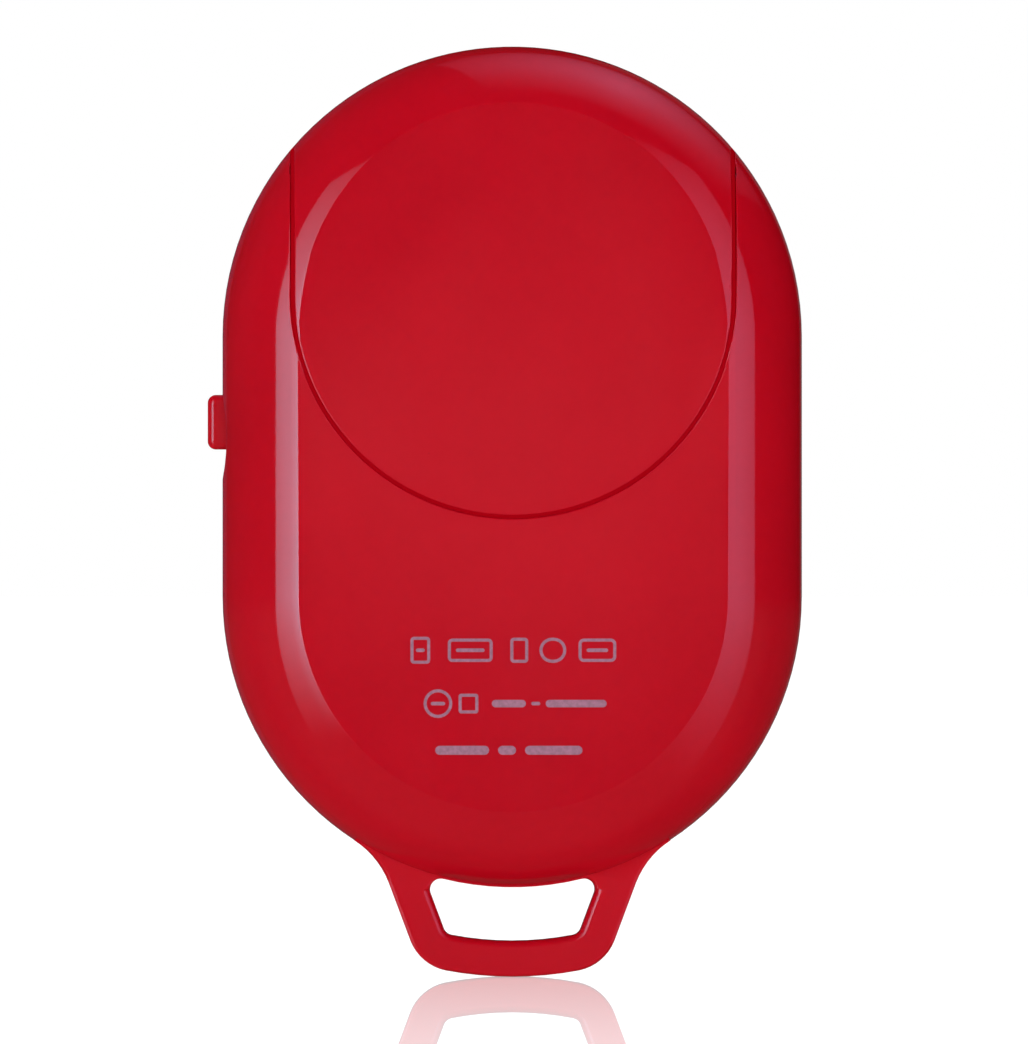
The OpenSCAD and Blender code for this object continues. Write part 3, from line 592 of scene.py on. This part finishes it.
# Size of a speck's solid core, as a share of the speck
SPECK_CORE = 0.6


class Nodes:
    """A node tree under construction, with short calls for the nodes that it needs."""

    def __init__(self, tree):
        self.tree = tree

    def add(self, kind, inputs=None):
        """New node, with its inputs fed."""
        return self.fill(self.tree.nodes.new(kind), inputs or {})

    def fill(self, node, inputs):
        """Feeds a node's inputs, which go by their names or numbers."""
        for place, value in inputs.items():
            self.feed(node.inputs[place], value)
        return node

    def feed(self, socket, value):
        """Links a node's output to the socket, or gives it a number, a vector or a colour."""
        if isinstance(value, bpy.types.NodeSocket):
            self.tree.links.new(value, socket)
        else:
            socket.default_value = (*value, 1) if socket.type == "RGBA" else value

    def ranged(self, value, low, high, to_low=0, to_high=1):
        """The value, mapped from one range to the other and kept inside it."""
        return self.add("ShaderNodeMapRange", {
            "From Min": low, "From Max": high, "To Min": to_low, "To Max": to_high, "Value": value,
        }).outputs["Result"]

    def maths(self, operation, *values):
        node = self.tree.nodes.new("ShaderNodeMath")
        node.operation = operation
        return self.fill(node, dict(enumerate(values))).outputs["Value"]


class Looks(Nodes):
    """A material of the part under construction."""

    def __init__(self, name, colour, metallic=0.0):
        self.material = bpy.data.materials.new(name)
        self.material.use_nodes = True
        self.material.diffuse_color = (*colour, 1)
        super().__init__(self.material.node_tree)
        self.shader = self.tree.nodes["Principled BSDF"]
        self.set("Metallic", metallic)
        self.set("IOR", RESIN_IOR)
        self.colour = colour
        self.where = self.add("ShaderNodeTexCoord").outputs["Object"]

    def set(self, name, value):
        """Gives an input of the shader a value, or links it."""
        self.feed(self.shader.inputs[name], value)

    def stretched(self, scale):
        """Texture place with each direction scaled by its own factor."""
        return self.add("ShaderNodeMapping", {"Scale": scale, "Vector": self.where}).outputs["Vector"]

    def noise(self, size, detail=3.0, where=None):
        """Cloudy noise whose features are about the given size in millimetres."""
        return self.add("ShaderNodeTexNoise", {
            "Scale": 1 / (size * MM), "Detail": detail, "Vector": where or self.where,
        }).outputs["Fac"]

    def specks(self, spacing, share):
        """Sparse round specks: one where a random cell's middle is close."""
        cells = self.add("ShaderNodeTexVoronoi", {"Scale": 1 / (spacing * MM), "Vector": self.where})
        return self.ranged(cells.outputs["Distance"], share, share * SPECK_CORE)

    def mixed(self, share, first, second):
        """Colour that goes from the first to the second with the share."""
        node = self.tree.nodes.new("ShaderNodeMix")
        node.data_type = "RGBA"
        self.fill(node, {"Factor": share, MIX_FIRST: first, MIX_SECOND: second})
        return node.outputs[MIX_OUT]

    def shade(self, factor):
        return tuple(min(1.0, channel * factor) for channel in self.colour)

    def bump(self, height, strength, depth):
        """Relief of the given depth in millimetres, on top of any relief added before."""
        node = self.add("ShaderNodeBump", {"Strength": strength, "Distance": depth * MM, "Height": height})
        normal = self.shader.inputs["Normal"]
        if normal.is_linked:
            self.feed(node.inputs["Normal"], normal.links[0].from_socket)
        self.feed(normal, node.outputs["Normal"])

    def edges(self):
        """How much a corner lies on a rounded edge, where hands wear the finish."""
        node = self.add("ShaderNodeAttribute")
        node.attribute_name = "band"
        return node.outputs["Fac"]


def moulded(name, colour, roughness, mottle=0.06, peel=0.25):
    """Moulded plastic: faint clouds of pigment, an orange-peel skin, rubbed edges and fine dust marks."""
    looks = Looks(name, colour)
    clouds = looks.noise(size=7, detail=4)
    grain = looks.noise(size=0.5, detail=2)
    tone = looks.maths("ADD", looks.maths("MULTIPLY", clouds, 0.7), looks.maths("MULTIPLY", grain, 0.3))
    body = looks.mixed(looks.ranged(tone, 0.3, 0.7), looks.shade(1 - mottle), looks.shade(1 + mottle))
    worn = looks.mixed(looks.maths("MULTIPLY", looks.edges(), 0.35), body, looks.shade(1.25))
    dust = looks.maths("MULTIPLY", looks.specks(spacing=6, share=0.014), 0.4)
    looks.set("Base Color", looks.mixed(dust, worn, looks.shade(0.5)))
    rub = looks.noise(size=2.2, detail=5, where=looks.stretched((1, 1, 0.12)))
    gloss = looks.ranged(rub, 0.35, 0.75, roughness * 0.85, roughness * 1.25)
    looks.set("Roughness", looks.maths("ADD", gloss, looks.maths("MULTIPLY", looks.edges(), 0.06)))
    looks.bump(looks.noise(size=0.9, detail=2), strength=peel, depth=0.004)
    return looks


def case_red(name="case_red"):
    """High-gloss red plastic of the covers, the door and the knob."""
    looks = moulded(name, (0.63, 0.0032, 0.0125), roughness=0.075)
    looks.set("Subsurface Weight", 0.35)
    looks.set("Subsurface Radius", (1, 0.05, 0.08))
    looks.set("Subsurface Scale", 0.7 * MM)
    scuffs = looks.noise(size=0.35, detail=6, where=looks.stretched((0.05, 1, 1)))
    looks.bump(looks.ranged(scuffs, 0.66, 0.8), strength=0.12, depth=0.002)
    return looks.material


def lip_shade_red(name="lip_shade_red"):
    """The same red, made darker and without gloss: painted shade down in the door's gap."""
    # Darker base colour and no specular paint the shade of the gap onto the lip
    looks = moulded(name, (0.5, 0.001, 0.006), roughness=0.8)
    looks.set("Specular IOR Level", 0)
    return looks.material


def key_red(name="key_red"):
    """Satin red of the keys, with a fine spark-eroded grain."""
    looks = moulded(name, (0.58, 0.0042, 0.0145), roughness=0.32, peel=0.1)
    looks.bump(looks.noise(size=0.12, detail=2), strength=0.35, depth=0.004)
    return looks.material


def dark_resin(name="resin_black"):
    looks = moulded(name, (0.012, 0.012, 0.014), roughness=0.46, mottle=0.25, peel=0.1)
    looks.bump(looks.noise(size=0.06), strength=0.5, depth=0.004)
    return looks.material


def grey_resin(name="resin_grey"):
    return moulded(name, (0.27, 0.28, 0.3), roughness=0.42, mottle=0.08).material


def ivory_resin(name="resin_ivory"):
    return moulded(name, (0.74, 0.7, 0.6), roughness=0.4, mottle=0.05).material


def nylon_black(name="gasket_black"):
    return moulded(name, (0.035, 0.035, 0.038), roughness=0.5, mottle=0.2).material


def metal(name, colour, roughness, grain, stretch):
    """Sheet metal: a rolled or brushed grain, clouds of tarnish and small dents."""
    looks = Looks(name, colour, metallic=1.0)
    lines = looks.noise(size=grain, detail=6, where=looks.stretched(stretch))
    tarnish = looks.noise(size=3.5, detail=5)
    body = looks.mixed(looks.ranged(lines, 0.3, 0.7), looks.shade(0.86), looks.shade(1.08))
    looks.set("Base Color", looks.mixed(looks.ranged(tarnish, 0.5, 0.8, 0, 0.4), body, looks.shade(0.6)))
    looks.set("Roughness", looks.ranged(lines, 0.25, 0.75, roughness * 0.85, roughness * 1.2))
    looks.bump(lines, strength=0.2, depth=grain / 80)
    looks.bump(tarnish, strength=0.1, depth=0.02)
    return looks


def cell_steel(name="cell_steel"):
    return metal(name, (0.66, 0.63, 0.58), roughness=0.3, grain=0.09, stretch=(1, 1, 0.03)).material


def sheet_steel(name="sheet_steel"):
    return metal(name, (0.55, 0.56, 0.58), roughness=0.3, grain=0.2, stretch=(0.08, 1, 1)).material


def contact_brass(name="contact_brass"):
    return metal(name, (0.83, 0.6, 0.25), roughness=0.28, grain=0.25, stretch=(1, 1, 0.1)).material


def solder_tin(name="solder_tin"):
    looks = metal(name, (0.66, 0.67, 0.7), roughness=0.36, grain=0.5, stretch=(1, 1, 1))
    looks.bump(looks.noise(size=0.3), strength=0.5, depth=0.02)
    return looks.material


def crossed(looks, operation, size, detail, squeeze):
    """Fibres in two directions, as two noises that are each stretched one way."""
    first = looks.noise(size, detail, looks.stretched((1, 1, squeeze)))
    return looks.maths(operation, first, looks.noise(size, detail, looks.stretched((squeeze, 1, 1))))


def board_green(name="board_green"):
    """Solder mask: glass weave under a green lacquer, with copper that shows through as lighter runs."""
    looks = Looks(name, (0.012, 0.13, 0.045))
    runs = looks.add("ShaderNodeTexBrick", {
        "Scale": 1 / (1.3 * MM), "Mortar Size": 0.06, "Color1": (0, 0, 0), "Color2": (0, 0, 0),
        "Mortar": (1, 1, 1), "Vector": looks.stretched((1, 1, 0.6)),
    }).outputs["Color"]
    weave = crossed(looks, "MULTIPLY", size=0.25, detail=1, squeeze=0.2)
    body = looks.mixed(looks.ranged(weave, 0.15, 0.4), looks.shade(0.8), looks.shade(1.15))
    looks.set("Base Color", looks.mixed(looks.maths("MULTIPLY", runs, 0.6), body, (0.035, 0.26, 0.08)))
    looks.set("Roughness", looks.ranged(looks.noise(size=1.5), 0.3, 0.7, 0.22, 0.4))
    looks.bump(runs, strength=0.6, depth=0.02)
    looks.bump(weave, strength=0.2, depth=0.01)
    return looks.material


def powder(name, colour, grain):
    """Pressed powder: coarse dark and light grains on a rough face."""
    looks = Looks(name, colour)
    grains = looks.noise(size=grain, detail=4)
    looks.set("Base Color", looks.mixed(looks.ranged(grains, 0.3, 0.7), looks.shade(0.6), looks.shade(1.5)))
    looks.set("Roughness", looks.ranged(grains, 0.3, 0.7, 0.75, 0.95))
    looks.bump(grains, strength=0.8, depth=0.03)
    return looks.material


def cathode_grey(name="cathode_grey"):
    return powder(name, (0.03, 0.03, 0.032), grain=0.12)


def anode_grey(name="anode_grey"):
    return metal(name, (0.5, 0.5, 0.53), roughness=0.5, grain=0.6, stretch=(1, 1, 1)).material


def separator_white(name="separator_white"):
    """Felted fibre, as crossed and stretched noise."""
    looks = Looks(name, (0.84, 0.83, 0.8))
    fibres = crossed(looks, "MAXIMUM", size=0.12, detail=3, squeeze=0.1)
    body = looks.mixed(looks.ranged(fibres, 0.45, 0.75), looks.shade(0.82), looks.shade(1.05))
    looks.set("Base Color", body)
    looks.set("Roughness", looks.ranged(fibres, 0.4, 0.8, 0.8, 0.98))
    looks.bump(fibres, strength=0.7, depth=0.03)
    return looks.material


def capacitor_tan(name="capacitor_tan"):
    return powder(name, (0.36, 0.24, 0.13), grain=0.2)


def lens_clear(name="lens_clear"):
    """Clear light pipe, with faint flow lines and a rubbed end."""
    looks = moulded(name, (0.86, 0.9, 0.97), roughness=0.14, mottle=0.02)
    looks.set("Transmission Weight", 0.75)
    return looks.material


def print_lilac(name="print_lilac"):
    """Pad-printed ink: thin and a little patchy, so the red shows through."""
    looks = Looks(name, (0.47, 0.2, 0.25))
    looks.set("Specular IOR Level", 0.2)
    patches = looks.noise(size=0.22, detail=4)
    body = looks.mixed(looks.ranged(patches, 0.35, 0.7), looks.shade(0.8), looks.shade(1.12))
    looks.set("Base Color", body)
    looks.set("Roughness", looks.ranged(patches, 0.3, 0.7, 0.6, 0.8))
    looks.bump(looks.noise(size=0.08, detail=2), strength=0.4, depth=0.003)
    return looks.material


FINISHES = {
    "case_red": case_red, "key_red": key_red, "cell_steel": cell_steel, "sheet_steel": sheet_steel,
    "contact_brass": contact_brass, "solder_tin": solder_tin, "board_green": board_green,
    "resin_black": dark_resin, "resin_grey": grey_resin, "resin_ivory": ivory_resin,
    "gasket_black": nylon_black, "cathode_grey": cathode_grey, "anode_grey": anode_grey,
    "separator_white": separator_white, "capacitor_tan": capacitor_tan, "lens_clear": lens_clear,
}


def dress_frame(pieces):
    """Gives every CAD node, and every piece that stands for one, its slot's finish."""
    finish = {slot: make() for slot, make in FINISHES.items()}
    for node, thing in NODES.items():
        thing.data.materials.clear()
        thing.data.materials.append(finish[SLOT_OF[node]])
    for piece in pieces:
        piece.data.materials.clear()
        piece.data.materials.append(finish[piece["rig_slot"]])


# Studio

# The photograph: its frame, the scale of the object in it, and where its middle lies on the object
PHOTO_W, PHOTO_H = 1028, 1044
PHOTO_FOOT_ROW = 976
PHOTO_AXIS_COLUMN = 512
PHOTO_SCALE = 52.0 / 929
CAMERA_AZIMUTH = -0.7
CAMERA_DISTANCE = 1.2
CAMERA_CLIP = (0.01, 20)
SENSOR = 36


def heading(azimuth, elevation):
    """Unit vector from the object toward a place round it. Azimuth 0 is the rear, and 90 the right."""
    a, e = math.radians(azimuth), math.radians(elevation)
    return Vector((math.sin(a) * math.cos(e), -math.cos(a) * math.cos(e), math.sin(e)))


def make_camera():
    data = bpy.data.cameras.new("camera")
    camera = add_object("camera", data)
    target = Vector((
        (PHOTO_W / 2 - PHOTO_AXIS_COLUMN) * PHOTO_SCALE, 0, (PHOTO_FOOT_ROW - PHOTO_H / 2) * PHOTO_SCALE
    )) * MM
    away = heading(CAMERA_AZIMUTH, 0)
    camera.location = target + away * CAMERA_DISTANCE
    camera.rotation_euler = away.to_track_quat("Z", "Y").to_euler()
    data.sensor_width = SENSOR
    data.lens = SENSOR * CAMERA_DISTANCE / (PHOTO_H * PHOTO_SCALE * MM)
    data.clip_start, data.clip_end = CAMERA_CLIP
    bpy.context.scene.camera = camera


def plane(name, width, height):
    """Upright sheet round the origin, facing -Y."""
    mesh = bpy.data.meshes.new(name)
    w, h = width / 2, height / 2
    mesh.from_pydata([(-w, 0, -h), (w, 0, -h), (w, 0, h), (-w, 0, h)], [], [(0, 1, 2, 3)])
    sheet = add_object(name, mesh)
    return sheet


def stage_material(name):
    """New material, and its empty node tree."""
    material = bpy.data.materials.new(name)
    material.use_nodes = True
    material.node_tree.nodes.clear()
    return material, Nodes(material.node_tree)


# Where a panel starts to fade across, as a share of its half, and the power of its fade up and down
FADE_START = 0.1
FADE_BEND = 2
STUDIO_CENTRE = Vector((0, 0, MIDDLE_Z * MM))
# Distances of the softboxes and the fills, and the size of a fill, in metres
PANEL_DISTANCE = 0.6
FILL_DISTANCE, FILL_SIZE = 0.9, 0.5


def glow(name, colour, strength, size, fan, top, bottom, left, right):
    """Light of a see-through softbox, with a level for each of its four sides, and none from behind.

    A level below 0 ends the light before that side. Up and down it falls off as a fan of rays does, whose
    point lies at the distance fan beside the panel's middle, or evenly where fan is 0.
    """
    material, nodes = stage_material(name)
    where = nodes.add("ShaderNodeTexCoord")
    split = nodes.add("ShaderNodeSeparateXYZ", {0: where.outputs["Object"]})
    across, height = split.outputs["X"], split.outputs["Z"]
    if fan:
        height = nodes.maths("DIVIDE", height, nodes.maths("MULTIPLY_ADD", across, 1 / fan, 1))
    power = strength
    for place, half, level, start, bend in (
        (height, size[1] / 2, top, 0, FADE_BEND),
        (height, -size[1] / 2, bottom, 0, FADE_BEND),
        (across, -size[0] / 2, left, FADE_START, 1),
        (across, size[0] / 2, right, FADE_START, 1),
    ):
        lit = nodes.maths("MAXIMUM", nodes.ranged(place, half * start, half, 1, level), 0)
        power = nodes.maths("MULTIPLY", power, nodes.maths("POWER", lit, bend))
    emit = nodes.add("ShaderNodeEmission", {"Color": colour, "Strength": power})
    clear = nodes.add("ShaderNodeBsdfTransparent")
    both = nodes.add("ShaderNodeAddShader", {0: emit.outputs[0], 1: clear.outputs[0]})
    side = nodes.add("ShaderNodeNewGeometry").outputs["Backfacing"]
    choose = nodes.add("ShaderNodeMixShader", {0: side, 1: both.outputs[0], 2: clear.outputs[0]})
    nodes.add("ShaderNodeOutputMaterial", {"Surface": choose.outputs[0]})
    return material


def softbox(name, toward, spread, colour, strength, fades, up=(0, 0, 1), fan=0):
    """Lit panel that faces the object: heading, spread and fan in degrees, and levels at its four sides."""
    size = [2 * PANEL_DISTANCE * math.tan(math.radians(angle) / 2) for angle in spread]
    sheet = plane(name, *size)
    away = heading(*toward)
    upward = (Vector(up) - away * away.dot(Vector(up))).normalized()
    sheet.location = STUDIO_CENTRE + away * PANEL_DISTANCE
    sheet.rotation_euler = Matrix((away.cross(upward), away, upward)).transposed().to_euler()
    reach = PANEL_DISTANCE * math.tan(math.radians(fan))
    sheet.data.materials.append(glow(name, colour, strength, size, reach, *fades))
    sheet.visible_camera = False
    sheet.visible_shadow = False


def fill_light(name, azimuth, elevation, power):
    """Soft light without a reflection of its own."""
    data = bpy.data.lights.new(name, "AREA")
    data.shape = "DISK"
    data.size, data.energy = FILL_SIZE, power
    light = add_object(name, data)
    away = heading(azimuth, elevation)
    light.location = STUDIO_CENTRE + away * FILL_DISTANCE
    light.rotation_euler = away.to_track_quat("Z", "Y").to_euler()
    light.visible_camera = False
    light.visible_glossy = False


def make_lights():
    """Softboxes, each named for the highlight that it makes in the photograph, and fills."""
    softbox(
        "left_band", toward=(-33, 0), spread=(36, 65), colour=(0.37, 0.77, 1.0), strength=4.9,
        fades=(0.34, -0.23, 2.2, 0.7), up=(0.12, 0, 1), fan=33
    )
    softbox(
        "right_band", toward=(34.5, 0), spread=(47, 80), colour=(0.71, 0.6, 1.0), strength=1.85,
        fades=(0.33, -0.2, 0.65, 1.1), fan=-34.5
    )
    softbox(
        "top_crescent", toward=(121.5, 62.4), spread=(72, 66), colour=(0.74, 0.58, 1.0), strength=1.15,
        fades=(0.5, 0.3, 0.1, 0.05), up=(-0.914, 0, 0.407)
    )
    softbox(
        "left_rim", toward=(203, 5), spread=(26, 60), colour=(1, 0.4, 0.8), strength=0.09,
        fades=(0.5, 0.5, 1, 1)
    )
    softbox(
        "right_rim", toward=(163, 5), spread=(18, 60), colour=(0.9, 0.9, 1), strength=0.1,
        fades=(0.5, 0.5, 1, 1)
    )
    softbox(
        "middle_glow", toward=(0.7, -0.44), spread=(4.5, 4.5), colour=(1, 0.3, 0.4), strength=0.55,
        fades=(0, 0, 0, 0)
    )
    fill_light("front_fill", azimuth=-8, elevation=2, power=2.97)
    fill_light("right_fill", azimuth=90, elevation=8, power=0.4)
    fill_light("left_fill", azimuth=-95, elevation=8, power=1.4)
    fill_light("top_fill", azimuth=0, elevation=82, power=2.6)
    fill_light("far_fill", azimuth=190, elevation=25, power=2.4)


# The dim room: its level on the left, and on the right from the place ROOM_EDGE on
ROOM_LEFT, ROOM_RIGHT, ROOM_EDGE = 0.03, 0.0, 0.6
# The pale ground that the gloss shows: its level, where it starts and is full by height, where it is full
# toward the camera, and its share of that level behind the object
ROOM_LOW = 0.1
GROUND_START, GROUND_FULL = 0.01, -0.07
GROUND_NEAR, GROUND_FAR_SHARE = -0.4, 0.3


def make_world():
    """White to the camera and in the floor's mirror; to the rest a dim room with a pale ground."""
    world = bpy.data.worlds.new("studio")
    bpy.context.scene.world = world
    world.use_nodes = True
    nodes = Nodes(world.node_tree)
    where = nodes.add("ShaderNodeTexCoord").outputs["Generated"]
    split = nodes.add("ShaderNodeSeparateXYZ", {0: where}).outputs
    room = nodes.ranged(split["X"], -1, ROOM_EDGE, ROOM_LEFT, ROOM_RIGHT)
    low = nodes.ranged(split["Z"], GROUND_START, GROUND_FULL, 0, ROOM_LOW)
    near = nodes.ranged(split["Y"], 0, GROUND_NEAR, GROUND_FAR_SHARE, 1)
    dim = nodes.maths("MULTIPLY_ADD", low, near, room)
    path = nodes.add("ShaderNodeLightPath").outputs
    seen = nodes.maths("MAXIMUM", path["Is Camera Ray"], path["Is Singular Ray"])
    back = world.node_tree.nodes["Background"].inputs
    nodes.feed(back["Strength"], nodes.ranged(seen, 0, 1, dim, 1))
    nodes.feed(back["Color"], (1, 1, 1))


# The floor: its width, its own grey, and its glow from above, at a grazing look and onto the object
FLOOR_SIZE = 12.0
FLOOR_GREY = 0.3
FLOOR_GLOW, FLOOR_GRAZE_GLOW, FLOOR_BOUNCE = 0.8, 0.62, 0.43
# Its mirror at a grazing look, how fast that falls from above, and how it weakens toward the camera
FLOOR_MIRROR, FLOOR_SHEEN_FALL = 0.78, 6
MIRROR_REACH, MIRROR_FALL = 0.15, 0.84


def make_floor():
    """Pale lit floor: a mirror at a grazing look, white from above, and unseen in the part's gloss."""
    floor = plane("floor", FLOOR_SIZE, FLOOR_SIZE)
    floor.rotation_euler = (-math.pi / 2, 0, 0)
    material, nodes = stage_material("floor_white")
    matt = nodes.add("ShaderNodeBsdfDiffuse", {"Color": (FLOOR_GREY, FLOOR_GREY, FLOOR_GREY)})
    facing = nodes.add("ShaderNodeLayerWeight", {"Blend": 0.5}).outputs["Facing"]
    fall = nodes.maths("POWER", facing, FLOOR_SHEEN_FALL)
    graze = nodes.ranged(fall, 0, 1, FLOOR_GLOW, FLOOR_GLOW + FLOOR_GRAZE_GLOW)
    path = nodes.add("ShaderNodeLightPath").outputs
    level = nodes.ranged(path["Is Camera Ray"], 0, 1, FLOOR_BOUNCE, graze)
    light = nodes.add("ShaderNodeEmission", {"Strength": level})
    lit = nodes.add("ShaderNodeAddShader", {0: matt.outputs[0], 1: light.outputs[0]})
    gloss = nodes.add("ShaderNodeBsdfGlossy", {"Roughness": 0, "Color": (1, 1, 1)})
    place = nodes.add("ShaderNodeNewGeometry").outputs["Position"]
    toward = nodes.add("ShaderNodeSeparateXYZ", {0: place}).outputs["Y"]
    mirror = nodes.ranged(toward, -MIRROR_REACH, 0, FLOOR_MIRROR * MIRROR_FALL, FLOOR_MIRROR)
    share = nodes.maths("MULTIPLY", fall, mirror)
    seen = nodes.maths("MULTIPLY", share, path["Is Camera Ray"])
    mix = nodes.add("ShaderNodeMixShader", {0: seen, 1: lit.outputs[0], 2: gloss.outputs[0]})
    clear = nodes.add("ShaderNodeBsdfTransparent")
    hidden = path["Is Glossy Ray"]
    unseen = nodes.add("ShaderNodeMixShader", {0: hidden, 1: mix.outputs[0], 2: clear.outputs[0]})
    nodes.add("ShaderNodeOutputMaterial", {"Surface": unseen.outputs[0]})
    floor.data.materials.append(material)


def main():
    make_camera()
    make_world()
    make_lights()
    make_floor()
    pieces = [
        make_rear_cover(), make_front_cover(), make_battery_door(),
        make_key("main_key"), make_key("second_key"), make_knob(),
    ]
    dress_frame(pieces)
    make_door_lip()
    make_print()
    bpy.context.scene.view_settings.view_transform = "Standard"


main()
